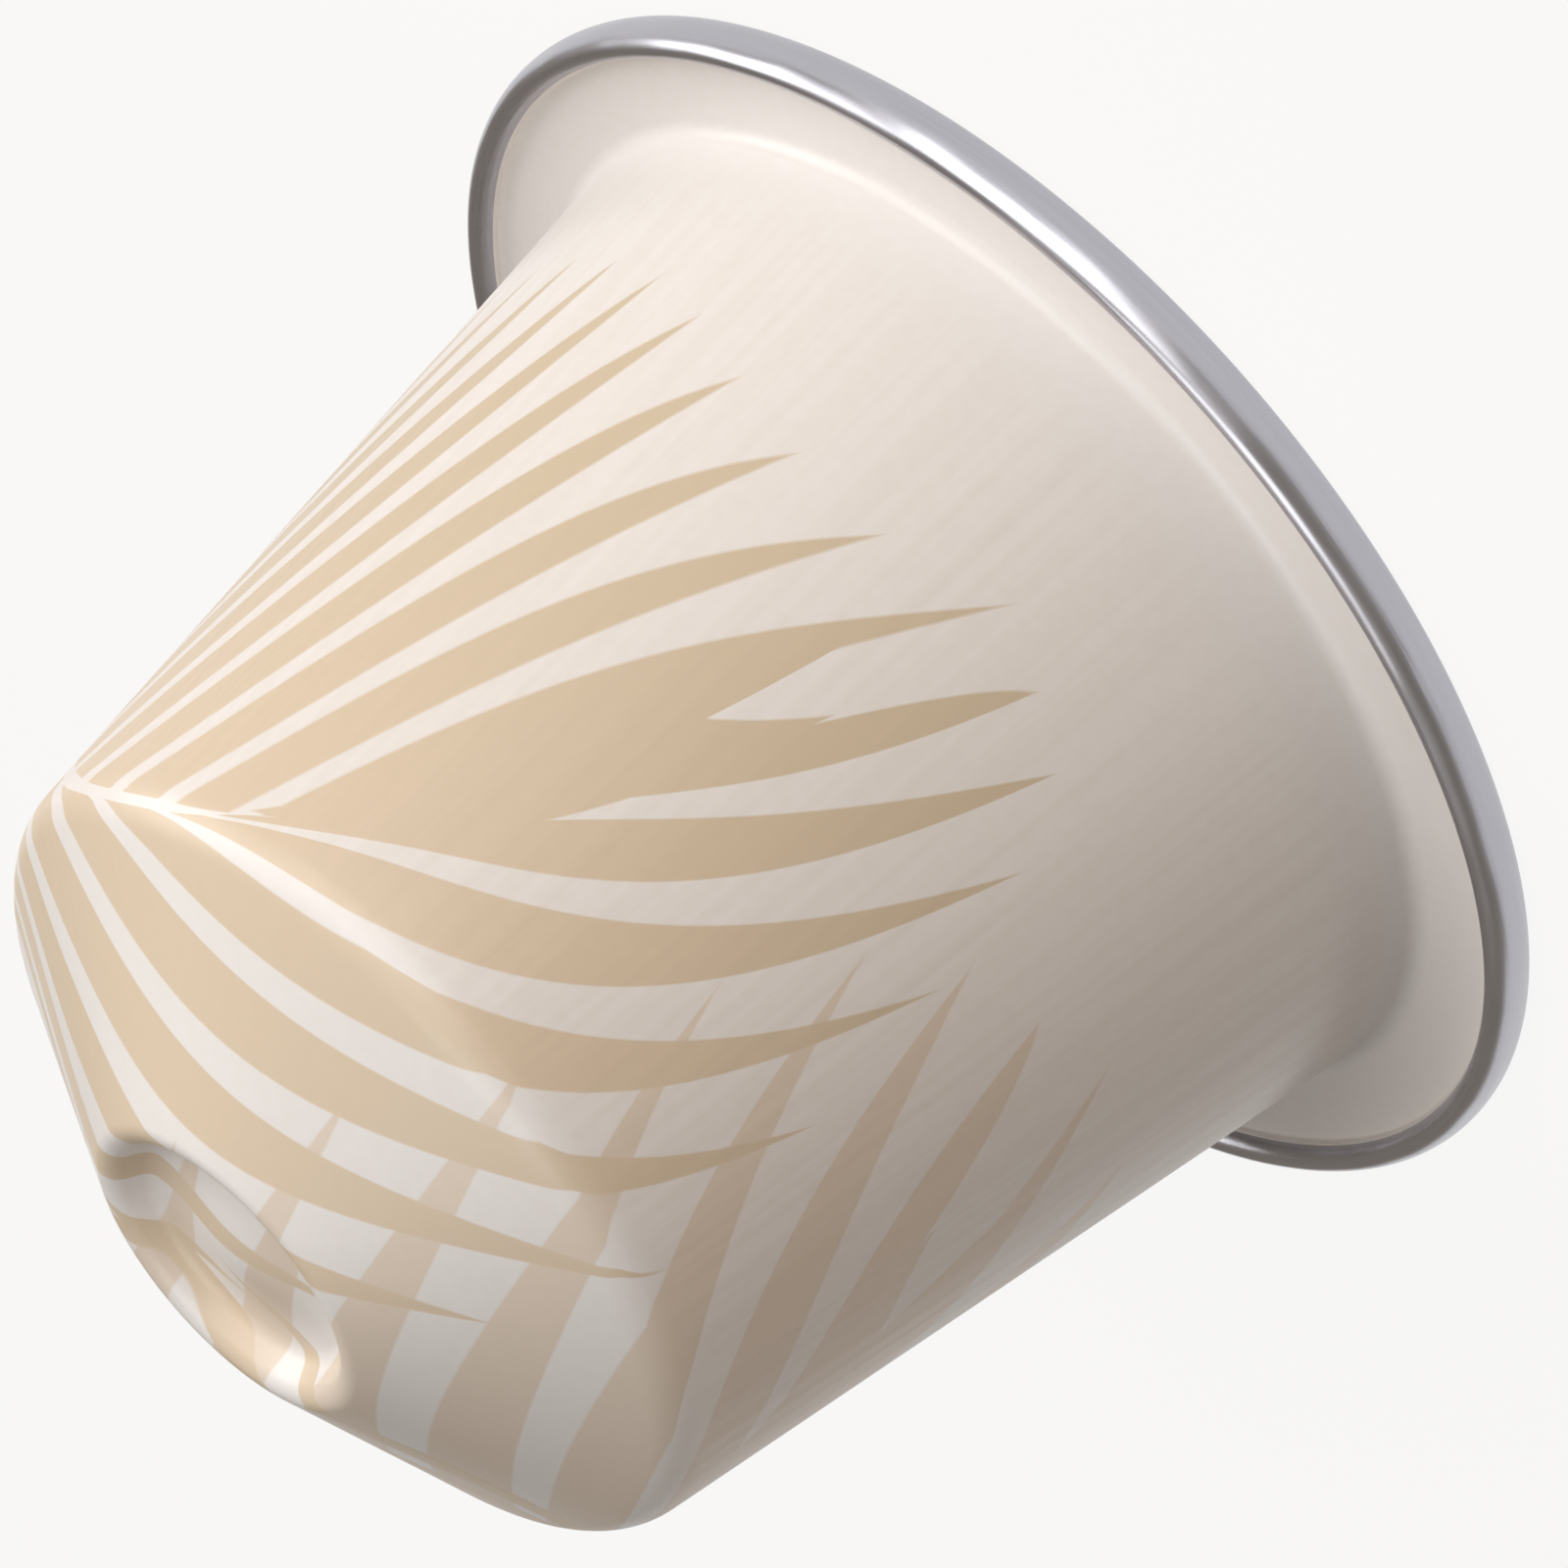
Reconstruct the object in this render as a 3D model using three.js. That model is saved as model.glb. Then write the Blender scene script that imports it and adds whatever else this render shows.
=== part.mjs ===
// A single-serve coffee pod: a deep-drawn aluminium cup with a rolled rim, filled
// with ground coffee and closed by a foil lid. It is sealed, so it is one solid.
//
// Lengths are in millimetres. +Z runs from the lid to the nose, and the origin is
// the centre of the ring on which the pod stands, lid down.

import * as THREE from 'three';

// Overall size
const rimDiameter = 37;
const podHeight = 28.85;        // standing ring to the crest of the nose ridge

// Rolled bead around the flange
const beadWidth = 0.86;         // across the roll, seen from above
const beadHeight = 1.4;         // standing ring to the top of the roll
const standingWidth = 0.3;      // flat of the standing ring, under the roll

// Flange and foil lid
const flangeHeight = 0.77;      // standing ring to the flange's upper face
const flangeThickness = 0.16;   // cup sheet, seal and foil together
const sealWidth = 2.1;          // flat seal of the foil, measured in from the bead
const lidSwell = 0.3;           // how far the foil's middle stands out of its seal

// Tapered wall
const mouthDiameter = 30.33;    // wall at the flange's upper face
const mouthFillet = 0.5;        // between the flange and the wall
const shoulderDiameter = 23.81; // sharp corner between the wall and the nose cone
const shoulderHeight = 24.73;   // standing ring to that corner
const shoulderRound = 1.55;

// Nose: a cone that ends in a rounded ridge around a shallow recess
const crestDiameter = 8.7;
const ridgeRound = 0.6;
const recessDepth = 0.9;        // crest to the lowest ring of the recess
const recessSlope = 60;         // recess wall above the horizontal, in degrees
const recessFillet = 0.5;       // between the recess wall and its floor
const domeHeight = 0.45;        // rise of the floor's middle

// Facets
const turnFacets = 96;          // around the axis
const arcFacet = 18;            // largest turn between points of an arc, in degrees
const swellFacets = 5;          // from edge to middle of the lid and of the dome

const lacquer = { color: 0xe6dacb, roughness: 0.38, metalness: 0.1 };

// Section points are (distance from the axis, height).
function point(distance, height) {
  return new THREE.Vector2(distance, height);
}

function radians(degrees) {
  return degrees * Math.PI / 180;
}

// Points on an elliptic arc, from one angle to another, in degrees.
function arc(centre, halfWidth, halfHeight, from, to) {
  const facets = Math.max(1, Math.ceil(Math.abs(to - from) / arcFacet));
  return Array.from({ length: facets + 1 }, (_, i) => {
    const angle = radians(from + (to - from) * i / facets);
    return point(centre.x + halfWidth * Math.cos(angle), centre.y + halfHeight * Math.sin(angle));
  });
}

// An arc that touches both sides of a corner.
function roundedCorner(before, corner, after, radius) {
  const back = before.clone().sub(corner).normalize();
  const ahead = after.clone().sub(corner).normalize();
  const halfCorner = Math.acos(back.dot(ahead)) / 2;
  const inward = back.clone().add(ahead).normalize();
  const centre = corner.clone().addScaledVector(inward, radius / Math.sin(halfCorner));
  const touch = radius / Math.tan(halfCorner);
  const start = corner.clone().addScaledVector(back, touch).sub(centre);
  const end = corner.clone().addScaledVector(ahead, touch).sub(centre);
  const from = THREE.MathUtils.radToDeg(Math.atan2(start.y, start.x));
  const turn = THREE.MathUtils.radToDeg(Math.atan2(start.cross(end), start.dot(end)));
  return arc(centre, radius, radius, from, from + turn);
}

// A surface that is level at its edge and at its middle, from edge to axis.
function swell(edgeDistance, edgeHeight, rise) {
  return Array.from({ length: swellFacets + 1 }, (_, i) => {
    const distance = edgeDistance * (1 - i / swellFacets);
    const share = (1 + Math.cos(Math.PI * distance / edgeDistance)) / 2;
    return point(distance, edgeHeight + rise * share);
  });
}

// The roll is an ellipse cut flat by the surface that the pod stands on.
const beadHalfWidth = beadWidth / 2;
const standingTurn = THREE.MathUtils.radToDeg(Math.asin(standingWidth / beadWidth));
const beadHalfHeight = beadHeight / (1 + Math.cos(radians(standingTurn)));
const beadCentre = point(rimDiameter / 2 - beadHalfWidth, beadHeight - beadHalfHeight);

// How far round the roll, from its inner side, a level meets it.
function beadTurnAt(height) {
  return THREE.MathUtils.radToDeg(Math.asin((height - beadCentre.y) / beadHalfHeight));
}

function lidSection() {
  const sealHeight = flangeHeight - flangeThickness;
  const sealEdge = beadCentre.x - beadHalfWidth - sealWidth;
  return swell(sealEdge, sealHeight, -lidSwell).reverse();
}

function beadSection() {
  const seal = 180 - beadTurnAt(flangeHeight - flangeThickness);
  const flange = 540 - beadTurnAt(flangeHeight);
  return [
    ...arc(beadCentre, beadHalfWidth, beadHalfHeight, seal, 270 - standingTurn),
    ...arc(beadCentre, beadHalfWidth, beadHalfHeight, 270 + standingTurn, flange),
  ];
}

function bodySection() {
  const flangeEdge = point(beadCentre.x, flangeHeight);
  const mouth = point(mouthDiameter / 2, flangeHeight);
  const shoulder = point(shoulderDiameter / 2, shoulderHeight);
  const ridgeCentre = point(crestDiameter / 2, podHeight - ridgeRound);

  // The nose cone is the line from the shoulder that touches the ridge's round.
  const toShoulder = shoulder.clone().sub(ridgeCentre);
  const coneTurn = Math.atan2(toShoulder.y, toShoulder.x) + Math.acos(ridgeRound / toShoulder.length());
  const coneTop = point(Math.cos(coneTurn), Math.sin(coneTurn)).multiplyScalar(ridgeRound).add(ridgeCentre);

  return [
    ...roundedCorner(flangeEdge, mouth, shoulder, mouthFillet),
    ...roundedCorner(mouth, shoulder, coneTop, shoulderRound),
    ...arc(ridgeCentre, ridgeRound, ridgeRound, THREE.MathUtils.radToDeg(coneTurn), 90),
    ...arc(ridgeCentre, ridgeRound, ridgeRound, 90, 90 + recessSlope).slice(1),
    ...recessSection(ridgeCentre),
  ];
}

function recessSection(ridgeCentre) {
  const slope = radians(recessSlope);
  const dropShare = 1 - Math.cos(slope);
  const fillet = Math.min(recessFillet, recessDepth / dropShare - ridgeRound);
  const straightDrop = recessDepth - (ridgeRound + fillet) * dropShare;
  const floorHeight = podHeight - recessDepth;
  const floorEdge = ridgeCentre.x - (ridgeRound + fillet) * Math.sin(slope) - straightDrop / Math.tan(slope);
  const filletCentre = point(floorEdge, floorHeight + fillet);
  return [
    ...arc(filletCentre, fillet, fillet, recessSlope - 90, -90),
    ...swell(floorEdge, floorHeight, domeHeight).slice(1),
  ];
}

function coffeePod() {
  const section = [...lidSection(), ...beadSection(), ...bodySection()];
  const geometry = new THREE.LatheGeometry(section, turnFacets);
  geometry.rotateX(Math.PI / 2);
  const pod = new THREE.Mesh(geometry, new THREE.MeshStandardMaterial(lacquer));
  pod.name = 'coffee_pod';
  return pod;
}

const part = new THREE.Group();
part.add(coffeePod());

export default part;
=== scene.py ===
import math

import bmesh
import bpy
from mathutils import Matrix, Vector


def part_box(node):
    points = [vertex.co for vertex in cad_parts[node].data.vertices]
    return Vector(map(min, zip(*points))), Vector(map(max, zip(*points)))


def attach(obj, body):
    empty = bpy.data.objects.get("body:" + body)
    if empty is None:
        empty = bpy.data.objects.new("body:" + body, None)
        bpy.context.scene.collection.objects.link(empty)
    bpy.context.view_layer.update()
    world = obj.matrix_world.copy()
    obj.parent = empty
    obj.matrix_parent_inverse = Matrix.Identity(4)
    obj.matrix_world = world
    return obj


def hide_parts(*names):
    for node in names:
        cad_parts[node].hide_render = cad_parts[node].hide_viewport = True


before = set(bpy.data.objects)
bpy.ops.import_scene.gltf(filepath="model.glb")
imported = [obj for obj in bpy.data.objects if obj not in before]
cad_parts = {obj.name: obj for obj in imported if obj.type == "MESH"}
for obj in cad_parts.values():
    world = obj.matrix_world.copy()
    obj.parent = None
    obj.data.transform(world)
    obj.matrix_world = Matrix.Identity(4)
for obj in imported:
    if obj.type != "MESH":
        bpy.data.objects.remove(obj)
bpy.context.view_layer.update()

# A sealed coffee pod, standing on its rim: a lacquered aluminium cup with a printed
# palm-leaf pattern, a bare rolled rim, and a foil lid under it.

MM = 0.001

# Sizes, in millimetres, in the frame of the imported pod
low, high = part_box("coffee_pod")
RIM_RADIUS = high.x / MM
POD_HEIGHT = high.z / MM

BEAD_WIDTH = 0.86
BEAD_HEIGHT = 1.4
STANDING_WIDTH = 0.3
CURL_SLIT_WIDTH = 0.1
CURL_SLIT_DEPTH = 0.12
CURL_SLIT_TURN = 222.0

FLANGE_HEIGHT = 0.77
FLANGE_THICKNESS = 0.16
FOIL_THICKNESS = 0.05
SEAL_WIDTH = 2.1
LID_SWELL = 0.3
LACQUER_EDGE = 0.96
LACQUER_SKIN = 0.015
LACQUER_FILLET = 0.1

MOUTH_RADIUS = 30.33 / 2
MOUTH_FILLET = 0.5
SHOULDER_RADIUS = 23.81 / 2
SHOULDER_HEIGHT = 24.73
SHOULDER_ROUND = 1.55

CREST_RADIUS = 8.7 / 2
RIDGE_ROUND = 0.6
RECESS_DEPTH = 0.9
RECESS_SLOPE = 60.0
RECESS_FILLET = 0.5
DOME_HEIGHT = 0.45

TURN_STEPS = 288
ARC_STEP = 6.0
SWELL_STEPS = 14
WALL_STEPS = 12
ON_AXIS = 1e-6

# Camera: how the photograph looks at the pod
CAMERA_AIM = Vector((-0.06, 3.04, 7.03)) * MM
CAMERA_DISTANCE = 281.3 * MM
CAMERA_ELEVATION = 24.31
CAMERA_ROLL = -131.18
CAMERA_LENS = 246.6


# Sections of turned pieces: lists of (distance from the axis, height), in millimetres

def arc(centre, half_width, half_height, start, end):
    """Points on an elliptic arc between two angles, in degrees."""
    steps = max(1, math.ceil(abs(end - start) / ARC_STEP))
    points = []
    for i in range(steps + 1):
        angle = math.radians(start + (end - start) * i / steps)
        across = half_width * math.cos(angle)
        rise = half_height * math.sin(angle)
        points.append(Vector((centre.x + across, centre.y + rise)))
    return points


def rounded_corner(before, corner, after, radius):
    """An arc that touches both sides of a corner."""
    back = (before - corner).normalized()
    ahead = (after - corner).normalized()
    half_corner = back.angle(ahead) / 2
    centre = corner + (back + ahead).normalized() * radius / math.sin(half_corner)
    touch = radius / math.tan(half_corner)
    start = corner + back * touch - centre
    end = corner + ahead * touch - centre
    first = math.degrees(math.atan2(start.y, start.x))
    turn = math.degrees(math.atan2(start.x * end.y - start.y * end.x, start.dot(end)))
    return arc(centre, radius, radius, first, first + turn)


def swell(edge, rise):
    """A surface that is level at its edge and at its middle, from edge to axis."""
    points = []
    for i in range(SWELL_STEPS + 1):
        distance = edge.x * (1 - i / SWELL_STEPS)
        share = (1 + math.cos(math.pi * distance / edge.x)) / 2
        points.append(Vector((distance, edge.y + rise * share)))
    return points


def straight(start, end, steps):
    """Points strictly between the two ends of a line."""
    return [start.lerp(end, i / steps) for i in range(1, steps)]


BEAD_HALF_WIDTH = BEAD_WIDTH / 2
STANDING_TURN = math.degrees(math.asin(STANDING_WIDTH / BEAD_WIDTH))
BEAD_HALF_HEIGHT = BEAD_HEIGHT / (1 + math.cos(math.radians(STANDING_TURN)))
BEAD_CENTRE = Vector((RIM_RADIUS - BEAD_HALF_WIDTH, BEAD_HEIGHT - BEAD_HALF_HEIGHT))


def bead_turn_at(height):
    """How far round the bead, from its inner side, a level meets it."""
    return math.degrees(math.asin((height - BEAD_CENTRE.y) / BEAD_HALF_HEIGHT))


def bead_arc(start, end, inset=0.0):
    return arc(BEAD_CENTRE, BEAD_HALF_WIDTH - inset, BEAD_HALF_HEIGHT - inset, start, end)


def bead_section():
    """The rolled bead: an oval, flat where it stands, with the slit where its curl ends."""
    half_slit = math.degrees(CURL_SLIT_WIDTH / 2 / BEAD_HALF_HEIGHT)
    slit_floor = bead_arc(CURL_SLIT_TURN, CURL_SLIT_TURN, CURL_SLIT_DEPTH)[:1]
    return (bead_arc(CURL_SLIT_TURN + half_slit, 270 - STANDING_TURN)
            + bead_arc(270 + STANDING_TURN, 360 + CURL_SLIT_TURN - half_slit)
            + slit_floor)


def foil_section():
    """The foil lid, from the middle of its underside round its edge to the middle above."""
    top = FLANGE_HEIGHT - FLANGE_THICKNESS + FOIL_THICKNESS
    seal_edge = BEAD_CENTRE.x - BEAD_HALF_WIDTH - SEAL_WIDTH
    edge = BEAD_CENTRE.x - BEAD_HALF_WIDTH + FOIL_THICKNESS
    under = swell(Vector((seal_edge, top - FOIL_THICKNESS)), -LID_SWELL)
    upper = swell(Vector((seal_edge, top)), -LID_SWELL)
    return under[::-1] + [Vector((edge, top - FOIL_THICKNESS)), Vector((edge, top))] + upper


def nose_section():
    """The ridge and the recess, from the top of the nose cone to the axis."""
    ridge = Vector((CREST_RADIUS, POD_HEIGHT - RIDGE_ROUND))
    to_shoulder = Vector((SHOULDER_RADIUS, SHOULDER_HEIGHT)) - ridge
    cone_turn = math.atan2(to_shoulder.y, to_shoulder.x) + math.acos(RIDGE_ROUND / to_shoulder.length)
    slope = math.radians(RECESS_SLOPE)
    floor_height = POD_HEIGHT - RECESS_DEPTH
    straight_drop = RECESS_DEPTH - (RIDGE_ROUND + RECESS_FILLET) * (1 - math.cos(slope))
    floor_edge = (ridge.x - (RIDGE_ROUND + RECESS_FILLET) * math.sin(slope)
                  - straight_drop / math.tan(slope))
    fillet = Vector((floor_edge, floor_height + RECESS_FILLET))
    return (arc(ridge, RIDGE_ROUND, RIDGE_ROUND, math.degrees(cone_turn), 90)
            + arc(ridge, RIDGE_ROUND, RIDGE_ROUND, 90, 90 + RECESS_SLOPE)[1:]
            + arc(fillet, RECESS_FILLET, RECESS_FILLET, RECESS_SLOPE - 90, -90)
            + swell(Vector((floor_edge, floor_height)), DOME_HEIGHT)[1:])


def cup_section():
    """The lacquered cup, whose skin laps a little way up the inside of the bead."""
    under = FLANGE_HEIGHT - FLANGE_THICKNESS + FOIL_THICKNESS
    mouth = Vector((MOUTH_RADIUS, FLANGE_HEIGHT))
    shoulder = Vector((SHOULDER_RADIUS, SHOULDER_HEIGHT))
    nose = nose_section()
    lip = bead_arc(180 - bead_turn_at(LACQUER_EDGE), 180 - bead_turn_at(FLANGE_HEIGHT), -LACQUER_SKIN)
    lip_foot = Vector((lip[-1].x, FLANGE_HEIGHT))
    mouth_arc = rounded_corner(lip_foot, mouth, shoulder, MOUTH_FILLET)
    shoulder_arc = rounded_corner(mouth, shoulder, nose[0], SHOULDER_ROUND)
    return ([Vector((0, under)), Vector((BEAD_CENTRE.x, under)), Vector((BEAD_CENTRE.x, LACQUER_EDGE))]
            + lip[:-1]
            + rounded_corner(lip[-2], lip_foot, mouth, LACQUER_FILLET)
            + mouth_arc
            + straight(mouth_arc[-1], shoulder_arc[0], WALL_STEPS)
            + shoulder_arc
            + straight(shoulder_arc[-1], nose[0], WALL_STEPS)
            + nose)


def turned(name, section):
    """A solid turned about the pod's axis. A section that leaves the axis closes on itself."""
    mesh = bmesh.new()
    rings = []
    for point in section:
        if point.x < ON_AXIS:
            rings.append([mesh.verts.new((0, 0, point.y * MM))] * TURN_STEPS)
            continue
        ring = []
        for i in range(TURN_STEPS):
            angle = 2 * math.pi * i / TURN_STEPS
            x = point.x * math.cos(angle) * MM
            y = point.x * math.sin(angle) * MM
            ring.append(mesh.verts.new((x, y, point.y * MM)))
        rings.append(ring)
    pairs = list(zip(rings, rings[1:]))
    if section[0].x > ON_AXIS:
        pairs.append((rings[-1], rings[0]))
    for inner, outer in pairs:
        for i in range(TURN_STEPS):
            j = (i + 1) % TURN_STEPS
            corners = list(dict.fromkeys((inner[i], inner[j], outer[j], outer[i])))
            mesh.faces.new(corners)
    bmesh.ops.recalc_face_normals(mesh, faces=mesh.faces)
    data = bpy.data.meshes.new(name)
    mesh.to_mesh(data)
    mesh.free()
    data.shade_smooth()
    piece = bpy.data.objects.new(name, data)
    bpy.context.scene.collection.objects.link(piece)
    return piece


# Shader maths

class Value:
    """A number that varies over a surface, in ordinary arithmetic."""

    def __init__(self, shader, socket):
        self.shader = shader
        self.socket = socket

    def math(self, operation, *inputs):
        return self.shader.number("ShaderNodeMath", {"operation": operation}, dict(enumerate(inputs)))

    def __add__(self, other):
        return self.math("ADD", self, other)

    def __radd__(self, other):
        return self.math("ADD", other, self)

    def __sub__(self, other):
        return self.math("SUBTRACT", self, other)

    def __rsub__(self, other):
        return self.math("SUBTRACT", other, self)

    def __mul__(self, other):
        return self.math("MULTIPLY", self, other)

    def __rmul__(self, other):
        return self.math("MULTIPLY", other, self)

    def __truediv__(self, other):
        return self.math("DIVIDE", self, other)

    def __rtruediv__(self, other):
        return self.math("DIVIDE", other, self)

    def __pow__(self, other):
        return self.math("POWER", self, other)

    def __gt__(self, other):
        return self.math("GREATER_THAN", self, other)

    def __lt__(self, other):
        return self.math("LESS_THAN", self, other)

    def __abs__(self):
        return self.math("ABSOLUTE", self)

    def floor(self):
        return self.math("FLOOR", self)

    def at_least(self, other):
        return self.math("MAXIMUM", self, other)

    def at_most(self, other):
        return self.math("MINIMUM", self, other)

    def between(self, start, end, low=0.0, high=1.0):
        """Runs from low to high as this value runs from start to end, and stays inside them."""
        return self.shader.number("ShaderNodeMapRange", {"interpolation_type": "SMOOTHSTEP"}, {
            "Value": self, "From Min": start, "From Max": end, "To Min": low, "To Max": high})


class Shader:
    """The node tree of a material or of the world."""

    def __init__(self, owner):
        owner.use_nodes = True
        self.tree = owner.node_tree
        self.tree.nodes.clear()

    def node(self, kind, settings=None, inputs=None):
        """Adds a node: its settings first, then the values or links of its sockets."""
        made = self.tree.nodes.new(kind)
        for name, value in (settings or {}).items():
            setattr(made, name, value)
        for key, value in (inputs or {}).items():
            socket = made.inputs[key]
            if isinstance(value, Value):
                value = value.socket
            if isinstance(value, bpy.types.NodeSocket):
                self.tree.links.new(value, socket)
            else:
                socket.default_value = value
        return made

    def number(self, kind, settings=None, inputs=None):
        return Value(self, self.node(kind, settings, inputs).outputs[0])

    def mix_colours(self, share, first, second):
        """The first colour where share is 0, the second where it is 1."""
        return self.node("ShaderNodeMix", {"data_type": "RGBA"},
                         {0: share, 6: first, 7: second}).outputs[2]

    def noise(self, place, scale, detail):
        return self.number("ShaderNodeTexNoise", None,
                           {"Vector": place, "Scale": scale, "Detail": detail})

    def bump(self, height, distance, normal=None):
        inputs = {"Height": height, "Distance": distance, "Strength": 1.0}
        if normal is not None:
            inputs["Normal"] = normal
        return self.node("ShaderNodeBump", None, inputs).outputs[0]

    def place(self):
        """Where a point lies on the pod: x, y and z in millimetres."""
        spot = self.node("ShaderNodeTexCoord").outputs["Object"]
        split = self.node("ShaderNodeSeparateXYZ", None, {0: spot})
        return [Value(self, output) / MM for output in split.outputs]

    def vector(self, x, y, z):
        return self.node("ShaderNodeCombineXYZ", None, {0: x, 1: y, 2: z}).outputs[0]


def colour(red, green, blue):
    """A colour given as it looks on a screen, 0 to 255, as Blender's linear light."""
    def linear(level):
        level /= 255
        return level / 12.92 if level <= 0.04045 else ((level + 0.055) / 1.055) ** 2.4
    return (linear(red), linear(green), linear(blue), 1.0)


# Print: palm leaves on the flat sheet that the cup is drawn from, in millimetres on that sheet

PRINT_EDGE = 0.06
RIB_HALF_WIDTH = 0.2

# How far along a leaf its rib narrows to nothing, and from where on blades may lie on its line
RIB_NARROWS = (8, 12)
RIB_PAST = 20

# Half a blade's width as a share of the pitch, and the width square to it as a share of that
# along the rib
BLADE_HALF_WIDTH = 0.35
SQUARE_SHARE = 0.55

# How far out from the rib, and between which places along it, blades take up their own run
NEAR_RIB = 0.5
RUN_SETS_IN = (-5, 3)

# Blades come to their tips between these distances from the middle of the sheet at the latest
PRINT_THINS = 23.5
PRINT_END = 27.0

# Under 0, so that no hairline is left where a blade has ended
NO_ROOM = -0.1

# Each side of a leaf. pitch: distance between blades along the rib. first, last: the gaps that
# are counted from and that end the side. lean, curl, sweep: how the blades run forwards. fan,
# opening, step: how they part. reach: how far they go. taper: how full they stay to the tip
BROAD_BLADES = {"pitch": 2.6, "first": 1.83, "last": 14.83, "lean": 1.45, "curl": 0.0, "sweep": 0.0,
                "fan": 0.0, "opening": 0.9, "step": 1.75,
                "reach": 14.6, "reach_change": 0.0, "reach_bend": -0.052, "taper": 2.8}
SLIM_BLADES = {"pitch": 1.8, "first": 2.04, "last": 11.04, "lean": 0.37, "curl": 0.013, "sweep": 0.026,
               "fan": 0.027, "opening": 0.0, "step": 0.0,
               "reach": 15.3, "reach_change": 0.65, "reach_bend": -0.008, "taper": 3.4}

# The full part at a leaf's end, where blades are still joined, between straight lines. start,
# slope: how it widens from the rib. far_slope, far_drop, limit, narrows: how it narrows again
JOINED_BROAD = {"start": 12.3, "slope": 0.22, "far_slope": 0.1, "far_drop": 0.8}
JOINED_SLIM = {"start": 11, "slope": 0.2, "limit": 9.8, "narrows": 0.36}
JOINED_END = {"place": 23, "broad_slope": 1.7, "slim_slope": 12, "square_share": 0.5}

# Each leaf: where its rib starts (distance from the middle of the sheet, angle), its heading,
# where its first blade leaves, its scale, and whether it is the mirrored form
TOP_LEAF = {"start": (14.5, 1), "heading": 242, "first": -8.0, "scale": 1.0, "mirrored": False}
UNDER_LEAF = {"start": (22.1, 108.6), "heading": 250, "first": -5.0, "scale": 1.25, "mirrored": True}
BACK_LEAF = {"start": (16.0, 150), "heading": 28, "first": -5.0, "scale": 0.88, "mirrored": False}


def sheet_place(x, y, z):
    """Where a point lay on the flat sheet, if drawing the cup kept its area."""
    distance = (x * x + y * y) ** 0.5
    cone_run = SHOULDER_RADIUS - CREST_RADIUS
    cone_share = math.hypot(cone_run, POD_HEIGHT - SHOULDER_HEIGHT) / cone_run
    wall_run = MOUTH_RADIUS - SHOULDER_RADIUS
    wall_drop = SHOULDER_HEIGHT - FLANGE_HEIGHT
    wall_share = math.hypot(wall_run, wall_drop) / wall_run
    nose = distance.at_most(SHOULDER_RADIUS)
    wall = (SHOULDER_HEIGHT - z).at_least(0) * (wall_run / wall_drop) + SHOULDER_RADIUS
    area = nose * nose * cone_share + (wall * wall - SHOULDER_RADIUS ** 2) * wall_share
    stretch = area ** 0.5 / distance.at_least(0.01)
    return x * stretch, y * stretch


def blades(along, out, kind, first, room):
    """1 on the blades of one side of a leaf, 0 between them."""
    out = (out + along * along.at_least(0) * kind["sweep"]).at_least(0)
    settled = out / (out + NEAR_RIB) * along.between(*RUN_SETS_IN)
    spread = settled * kind["opening"] + out * kind["fan"] + 1
    root = (along - out * (out * kind["curl"] + kind["lean"]) + settled * kind["step"]) / spread
    count = (root - kind["first"]) / kind["pitch"]
    middle = count.floor() + 0.5
    blade_root = middle * kind["pitch"] + kind["first"]
    past = blade_root.at_least(0)
    reach = blade_root * kind["reach_change"] + past * past * kind["reach_bend"] + kind["reach"]
    share = (out / reach.at_least(0.1)).at_most(2)
    half_width = ((1 - share ** kind["taper"]) * BLADE_HALF_WIDTH).at_most(room)
    sharpness = SQUARE_SHARE * kind["pitch"] / PRINT_EDGE
    inside = (half_width - abs(count - middle)) * spread * sharpness + 0.5
    return inside.at_least(0).at_most(1) * (blade_root > first) * (blade_root < kind["last"])


def palm_leaf(sheet_x, sheet_y, leaf):
    """1 on one leaf, 0 off it."""
    start, angle = leaf["start"]
    heading = math.radians(leaf["heading"])
    x = sheet_x - start * math.cos(math.radians(angle))
    y = sheet_y - start * math.sin(math.radians(angle))
    hand = -1 if leaf["mirrored"] else 1
    along = (x * math.cos(heading) + y * math.sin(heading)) / leaf["scale"]
    across = (x * math.sin(heading) - y * math.cos(heading)) * (hand / leaf["scale"])
    rib = along.between(*RIB_NARROWS, RIB_HALF_WIDTH, 0.0)
    area = sheet_x * sheet_x + sheet_y * sheet_y
    room = area.between(PRINT_THINS ** 2, PRINT_END ** 2, BLADE_HALF_WIDTH, NO_ROOM)
    other = across * -1
    broad = blades(along, across, BROAD_BLADES, leaf["first"], room) * (across > rib)
    slim_side = (other > rib).at_least(along > RIB_PAST)
    slim = blades(along, other, SLIM_BLADES, leaf["first"], room) * slim_side
    return broad.at_least(slim).at_least(joined_part(along, across, other))


def joined_part(along, across, other):
    """1 on the full part at a leaf's end, 0 off it."""
    side = JOINED_BROAD
    far = along * side["far_slope"] - side["far_drop"]
    broad_edge = ((along - side["start"]) * side["slope"]).at_most(far) - across
    side = JOINED_SLIM
    far = side["limit"] - along * side["narrows"]
    slim_edge = ((along - side["start"]) * side["slope"]).at_most(far) - other
    end = JOINED_END
    lead = across.at_least(0) * end["broad_slope"] + other.at_least(0) * end["slim_slope"]
    end_edge = (lead + end["place"] - along) * end["square_share"]
    joined = broad_edge.at_most(slim_edge).at_most(end_edge) / PRINT_EDGE + 0.5
    return joined.at_least(0).at_most(1)


# Materials

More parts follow.
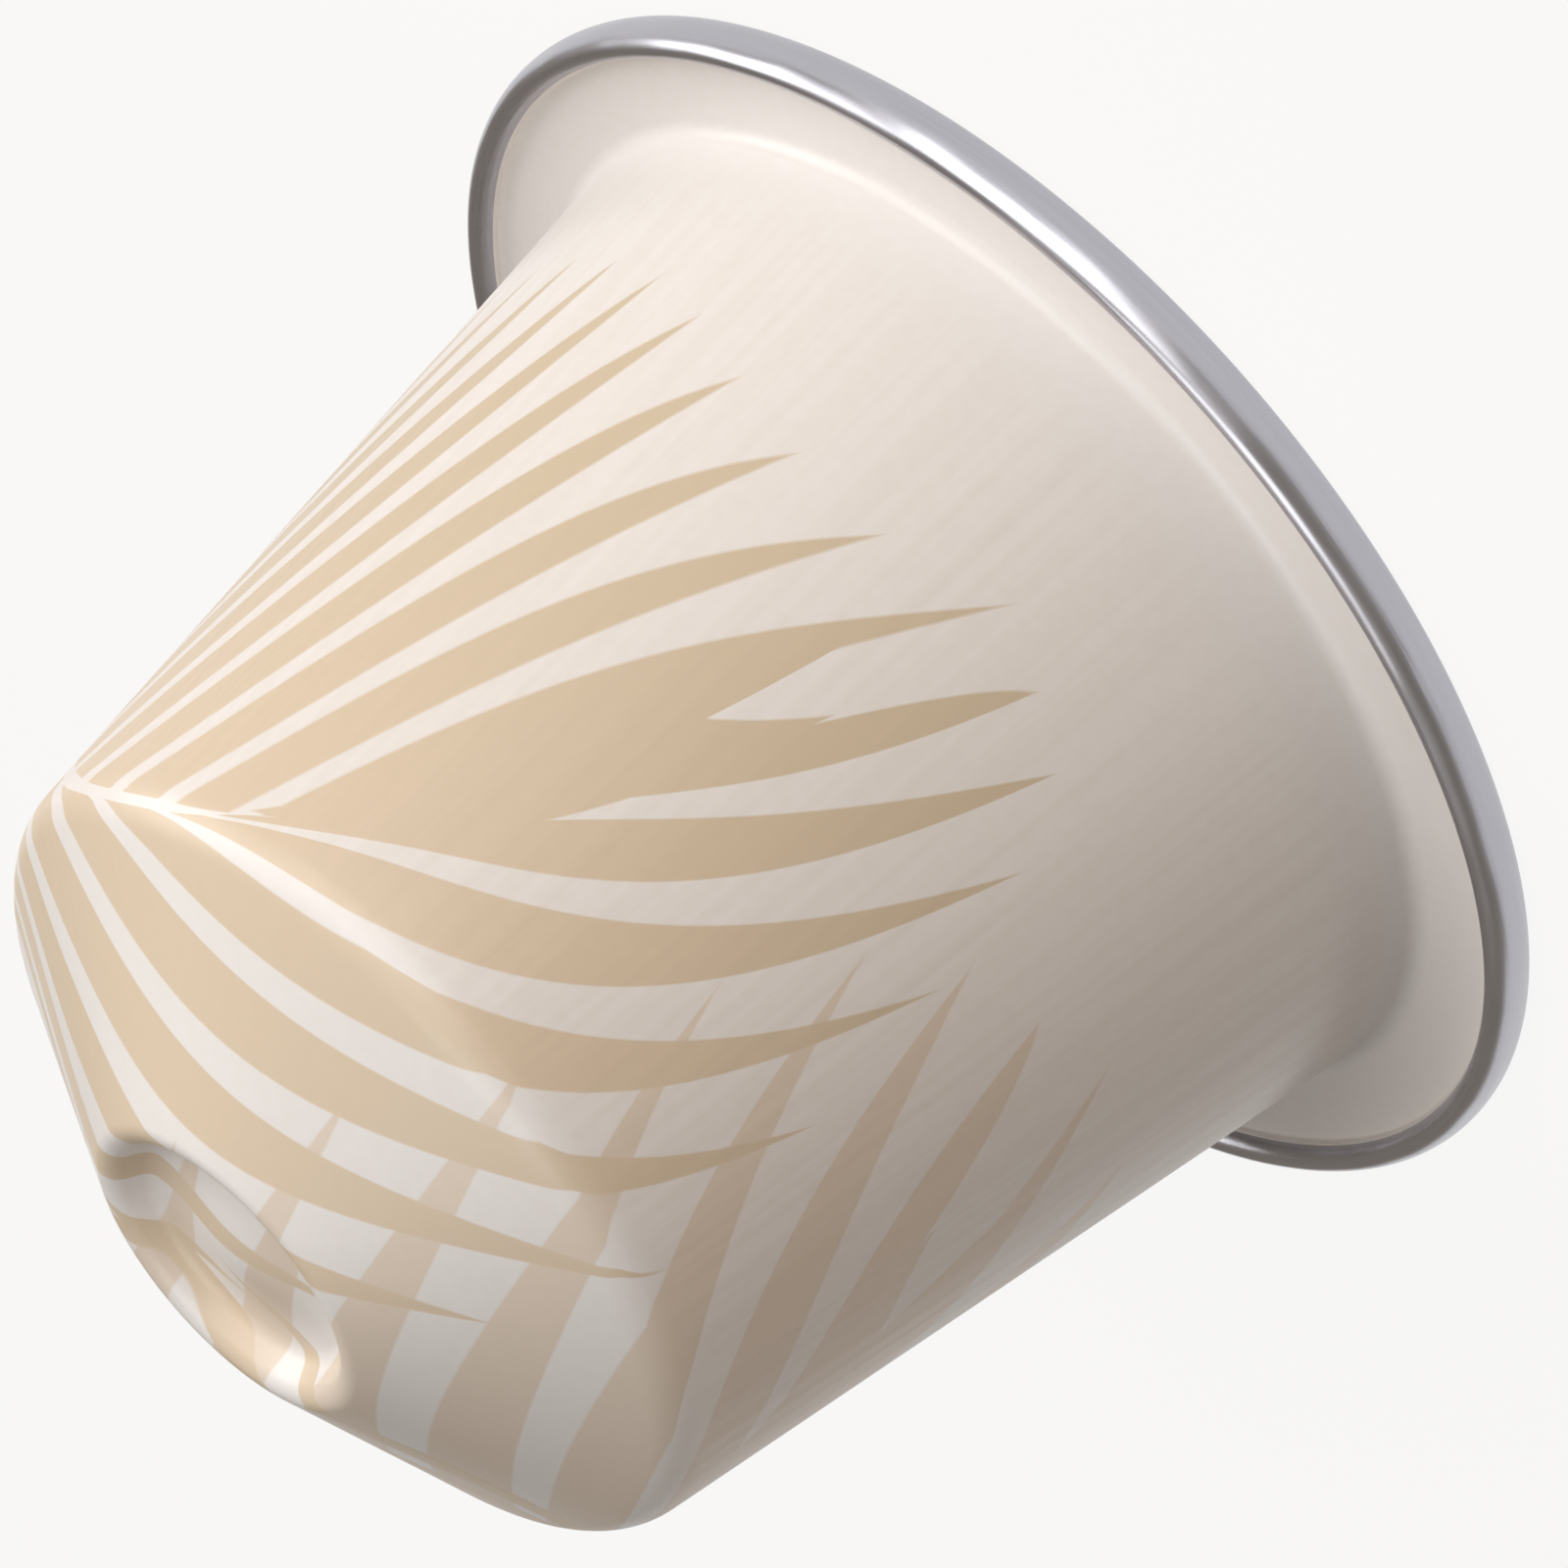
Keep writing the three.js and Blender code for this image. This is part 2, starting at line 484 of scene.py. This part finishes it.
CREAM = colour(235, 229, 224)
LEAF_BEIGE = colour(219, 199, 173)
TIP_BEIGE = colour(209, 190, 162)
UNDER_BEIGE = colour(222, 202, 180)
STREAK_TONE = colour(190, 172, 146)

# How strongly the leaf under the main one shows
UNDER_SHARE = 0.78

# Squares of the distances on the sheet between which a leaf turns to the beige of its tips
TIPS_TURN = (150, 550)

# Heights between which the marks of drawing set in, and those between which they end
MARKS_START = (1.5, 4.0)
MARKS_END = (23.0, 25.0)

# Depths of the marks, in millimetres, and how strongly streaks and grain tone the lacquer
LINE_DEPTH = 0.012
WAVE_DEPTH = 0.05
GRAIN_SHARE = 0.04
STREAK_SHARE = 0.06

# The knurled ring of the seal on the foil: where it sets in and where it ends, from the axis
KNURL_START = (15.2, 15.35)
KNURL_END = (17.2, 17.35)


def lacquer():
    material = bpy.data.materials.new("cream_lacquer")
    shader = Shader(material)
    x, y, z = shader.place()
    sheet_x, sheet_y = sheet_place(x, y, z)
    under = palm_leaf(sheet_x, sheet_y, UNDER_LEAF)
    back = palm_leaf(sheet_x, sheet_y, BACK_LEAF)
    top = palm_leaf(sheet_x, sheet_y, TOP_LEAF)
    printed = shader.mix_colours(under * UNDER_SHARE, CREAM, UNDER_BEIGE)
    tips = (sheet_x * sheet_x + sheet_y * sheet_y).between(*TIPS_TURN)
    leaf = shader.mix_colours(tips, LEAF_BEIGE, TIP_BEIGE)
    printed = shader.mix_colours(top.at_least(back), printed, leaf)

    # Fine lines and broad waves that drawing left along the wall
    distance = ((x * x + y * y) ** 0.5).at_least(1)
    drawn = shader.noise(shader.vector(x / distance * 45, y / distance * 45, z * 0.05), 1.0, 1.0)
    broad = shader.noise(shader.vector(x / distance * 6, y / distance * 6, z * 0.03), 1.0, 2.0)
    on_wall = z.between(*MARKS_START) * z.between(*MARKS_END, 1.0, 0.0)
    lines = shader.bump(drawn * on_wall, LINE_DEPTH * MM)
    waves = shader.bump(broad * on_wall, WAVE_DEPTH * MM, normal=lines)
    grain = shader.noise(shader.vector(x, y, z), 2.5, 4.0)
    streaks = drawn.between(0.35, 0.65) * on_wall
    tone = grain.between(0.3, 0.7, 0.0, GRAIN_SHARE) + streaks * STREAK_SHARE
    toned = shader.mix_colours(tone, printed, STREAK_TONE)
    surface = shader.node("ShaderNodeBsdfPrincipled", None, {
        "Base Color": toned,
        "Roughness": drawn.between(0.3, 0.7, 0.38, 0.46),
        "Coat Weight": 0.25,
        "Coat Roughness": 0.28,
        "Normal": waves,
    })
    shader.node("ShaderNodeOutputMaterial", None, {"Surface": surface.outputs[0]})
    return material


def bare_aluminium():
    material = bpy.data.materials.new("bare_aluminium")
    shader = Shader(material)
    x, y, z = shader.place()
    distance = ((x * x + y * y) ** 0.5).at_least(1)
    rolled = shader.noise(shader.vector(x / distance * 4, y / distance * 4, z * 7 + distance * 7), 1.0, 2.0)
    wobble = shader.noise(shader.vector(x / distance * 5, y / distance * 5, z * 0.3), 1.0, 1.0)
    relief = shader.bump(rolled, 0.008 * MM, normal=shader.bump(wobble, 0.15 * MM))
    surface = shader.node("ShaderNodeBsdfPrincipled", None, {
        "Base Color": shader.mix_colours(rolled, colour(176, 176, 184), colour(188, 188, 195)),
        "Metallic": 1.0,
        "Roughness": rolled.between(0.3, 0.7, 0.26, 0.33),
        "Normal": relief,
    })
    shader.node("ShaderNodeOutputMaterial", None, {"Surface": surface.outputs[0]})
    return material


def lid_foil():
    material = bpy.data.materials.new("lid_foil")
    shader = Shader(material)
    x, y, z = shader.place()
    distance = (x * x + y * y) ** 0.5
    rolling = shader.noise(shader.vector(x * 0.6, y * 18, z), 1.0, 3.0)
    dimples = shader.noise(shader.vector(x, y, z), 1.6, 2.0)
    ring = distance.between(*KNURL_START) * distance.between(*KNURL_END, 1.0, 0.0)
    knurl = shader.number("ShaderNodeTexWave", {"wave_type": "RINGS", "rings_direction": "Z"},
                          {"Vector": shader.vector(x, y, 0.0), "Scale": 1.6})
    relief = shader.bump(knurl * ring, 0.03 * MM, normal=shader.bump(dimples, 0.05 * MM))
    surface = shader.node("ShaderNodeBsdfPrincipled", None, {
        "Base Color": shader.mix_colours(rolling, colour(224, 223, 226), colour(238, 237, 239)),
        "Metallic": 1.0,
        "Roughness": rolling.between(0.3, 0.7, 0.28, 0.4),
        "Normal": shader.bump(rolling, 0.004 * MM, normal=relief),
    })
    shader.node("ShaderNodeOutputMaterial", None, {"Surface": surface.outputs[0]})
    return material


# Stage: a pale table that the camera sees as almost white, four soft lamps and a faint warm air

FLOOR_SIZE = 3.0
FLOOR_COLOUR = (0.62, 0.5, 0.39, 1)
FLOOR_WHITE_SHARE = 0.9
LAMP_DISTANCE = 0.4
STUDIO_COLOUR = (1.0, 0.88, 0.74, 1.0)
STUDIO_LEVEL = 0.04
BACKDROP_LEVEL = 0.3


def background_rays(shader):
    """1 for rays from the camera and for those that metal or glass sends on."""
    path = shader.node("ShaderNodeLightPath")
    camera_ray = Value(shader, path.outputs["Is Camera Ray"])
    glossy_ray = Value(shader, path.outputs["Is Glossy Ray"])
    through_ray = Value(shader, path.outputs["Is Transmission Ray"])
    return camera_ray.at_least(glossy_ray).at_least(through_ray)


def table():
    data = bpy.data.meshes.new("table")
    half = FLOOR_SIZE / 2
    corners = [(-half, -half, 0), (half, -half, 0), (half, half, 0), (-half, half, 0)]
    data.from_pydata(corners, [], [(0, 1, 2, 3)])
    floor = bpy.data.objects.new("table", data)
    bpy.context.scene.collection.objects.link(floor)
    material = bpy.data.materials.new("white_table")
    shader = Shader(material)
    paper = shader.node("ShaderNodeBsdfDiffuse", None, {"Color": FLOOR_COLOUR})
    white = shader.node("ShaderNodeEmission", None, {"Color": (1, 1, 1, 1), "Strength": 1.0})
    mixed = shader.node("ShaderNodeMixShader", None, {
        0: background_rays(shader) * FLOOR_WHITE_SHARE, 1: paper.outputs[0], 2: white.outputs[0]})
    shader.node("ShaderNodeOutputMaterial", None, {"Surface": mixed.outputs[0]})
    data.materials.append(material)


def studio_air():
    world = bpy.data.worlds.new("studio")
    bpy.context.scene.world = world
    shader = Shader(world)
    level = background_rays(shader) * (BACKDROP_LEVEL - STUDIO_LEVEL) + STUDIO_LEVEL
    air = shader.node("ShaderNodeBackground", None, {"Color": STUDIO_COLOUR, "Strength": level})
    shader.node("ShaderNodeOutputWorld", None, {"Surface": air.outputs[0]})


def camera_turn():
    tilt = Matrix.Rotation(math.radians(90 - CAMERA_ELEVATION), 3, "X")
    return tilt @ Matrix.Rotation(math.radians(CAMERA_ROLL), 3, "Z")


def lamp(name, azimuth, elevation, size, level):
    """A soft lamp that faces the pod. A white sheet that faces it looks as bright as level says."""
    turn = math.radians(azimuth)
    rise = math.radians(elevation)
    direction = Vector((math.cos(rise) * math.cos(turn), math.cos(rise) * math.sin(turn), math.sin(rise)))
    data = bpy.data.lights.new(name, "AREA")
    data.shape = "RECTANGLE"
    data.size, data.size_y = size
    data.energy = level * math.pi ** 2 * LAMP_DISTANCE ** 2
    light = bpy.data.objects.new(name, data)
    light.location = Vector((0, 0, POD_HEIGHT / 2 * MM)) + direction * LAMP_DISTANCE
    light.rotation_euler = direction.to_track_quat("Z", "Y").to_euler()
    bpy.context.scene.collection.objects.link(light)


def camera():
    data = bpy.data.cameras.new("camera")
    data.sensor_width = 36
    data.lens = CAMERA_LENS
    view = bpy.data.objects.new("camera", data)
    turn = camera_turn()
    place = CAMERA_AIM + turn @ Vector((0, 0, CAMERA_DISTANCE))
    view.matrix_world = Matrix.Translation(place) @ turn.to_4x4()
    bpy.context.scene.collection.objects.link(view)
    bpy.context.scene.camera = view


def pod():
    for name, section, material, slot in (
            ("lacquered_cup", cup_section(), lacquer(), "lacquered_cup"),
            ("rolled_rim", bead_section(), bare_aluminium(), "bare_rim"),
            ("foil_lid", foil_section(), lid_foil(), "foil_lid")):
        piece = turned(name, section)
        piece.data.materials.append(material)
        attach(piece, "root")
        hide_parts("coffee_pod")


camera()
table()
studio_air()
lamp("key_softbox", -48, 27, (0.4, 0.42), 0.85)
lamp("side_softbox", 12, 25, (0.25, 0.25), 0.42)
lamp("top_softbox", -120, 76, (0.25, 0.25), 0.26)
lamp("back_softbox", -165, 62, (0.45, 0.45), 0.06)
pod()
bpy.context.scene.view_settings.view_transform = "Standard"
